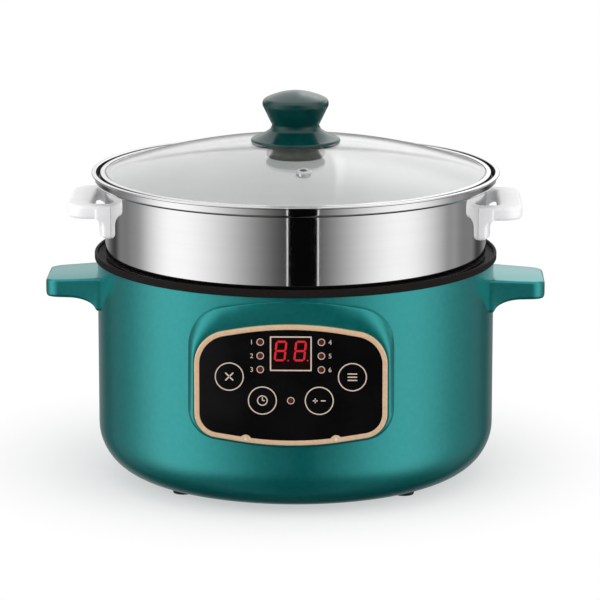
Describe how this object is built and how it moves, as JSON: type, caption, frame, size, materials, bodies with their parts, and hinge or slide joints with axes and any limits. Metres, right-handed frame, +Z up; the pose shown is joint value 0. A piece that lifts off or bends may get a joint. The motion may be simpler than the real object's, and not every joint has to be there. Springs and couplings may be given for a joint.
{
  "type": "multicooker",
  "caption": "Round electric multicooker with a teal housing, a fixed black pot, a lift-off steel steamer tier and a domed glass lid with a knob",
  "frame": {"origin": "middle of the bottom box face, on the surface that the feet stand on and under the pot's axis", "axes": "+X to the right side handle as seen from the front, +Y to the back, +Z up; the control panel faces -Y"},
  "size_m": [0.3514, 0.2872, 0.2737],
  "materials": {
    "teal_plastic": "satin metallic teal lacquer",
    "dark_teal_plastic": "glossy moulded dark green",
    "black_plastic": "matt moulded black",
    "black_rubber": "plain rubber",
    "plain_steel": "plated",
    "black_coating": "black non-stick coating",
    "cast_aluminium": "as cast and turned",
    "white_plastic": "smooth moulded white",
    "board_green": "solder mask",
    "component_black": "moulded case",
    "component_yellow": "tape and lacquer",
    "window_red": "clear dark red window",
    "lamp_red": "translucent red",
    "gold_trim": "satin rose gold plating",
    "panel_black": "polished black",
    "pin_brass": "plain",
    "cable_grey": "flat cable",
    "lead_brown": "insulated wire",
    "polished_steel": "mirror polished stainless steel",
    "clear_glass": "clear tempered glass",
    "seat_brown": "heat-proof moulding"
  },
  "bodies": {
    "base": {"housing": "teal_plastic", "bottom_cover": "black_plastic", "feet": "black_rubber", "cover_screws": "plain_steel", "side_handle_left": "teal_plastic", "side_handle_right": "teal_plastic", "handle_screws": "plain_steel", "inner_pot": "black_coating", "pot_studs": "plain_steel", "stud_screws": "plain_steel", "heating_plate": "cast_aluminium", "heating_element": "plain_steel", "heat_shield": "plain_steel", "temperature_sensor": "cast_aluminium", "sensor_spring": "plain_steel", "thermal_fuse": "white_plastic", "power_board": "board_green", "relay": "component_black", "transformer": "component_yellow", "capacitors": "component_black", "control_board": "board_green", "control_screws": "plain_steel", "display_module": "component_black", "display_window": "window_red", "indicator_lamps": "lamp_red", "key_switches": "component_black", "panel_bezel": "gold_trim", "bezel_studs": "plain_steel", "panel_fascia": "panel_black", "power_inlet": "black_plastic", "inlet_pins": "pin_brass", "inlet_screws": "plain_steel", "ribbon_cable": "cable_grey", "heater_leads": "lamp_red", "mains_leads": "lead_brown"},
    "steamer": {"steamer_shell": "polished_steel", "steamer_floor": "polished_steel", "steamer_rim": "polished_steel", "steamer_handle_left": "white_plastic", "steamer_handle_right": "white_plastic", "steamer_screws": "plain_steel"},
    "lid": {"lid_glass": "clear_glass", "lid_band": "polished_steel", "knob": "dark_teal_plastic", "knob_seat": "seat_brown", "knob_screw": "plain_steel", "vent_grommet": "polished_steel"},
    "outer_left_key": {"key_outer_left": "panel_black"},
    "outer_right_key": {"key_outer_right": "panel_black"},
    "inner_left_key": {"key_inner_left": "panel_black"},
    "inner_right_key": {"key_inner_right": "panel_black"}
  },
  "joints": [
    {"name": "steamer_lift", "type": "slide", "parent": "base", "child": "steamer", "axis": [0, 0, 1], "range_m": [0, 0.12]},
    {"name": "lid_lift", "type": "slide", "parent": "steamer", "child": "lid", "axis": [0, 0, 1], "range_m": [0, 0.12]},
    {"name": "outer_left_press", "type": "slide", "parent": "base", "child": "outer_left_key", "axis": [0, 1, 0], "range_m": [0, 0.0005], "stiffness_N_per_m": 900},
    {"name": "outer_right_press", "type": "slide", "parent": "base", "child": "outer_right_key", "axis": [0, 1, 0], "range_m": [0, 0.0005], "stiffness_N_per_m": 900},
    {"name": "inner_left_press", "type": "slide", "parent": "base", "child": "inner_left_key", "axis": [0, 1, 0], "range_m": [0, 0.0005], "stiffness_N_per_m": 900},
    {"name": "inner_right_press", "type": "slide", "parent": "base", "child": "inner_right_key", "axis": [0, 1, 0], "range_m": [0, 0.0005], "stiffness_N_per_m": 900}
  ]
}
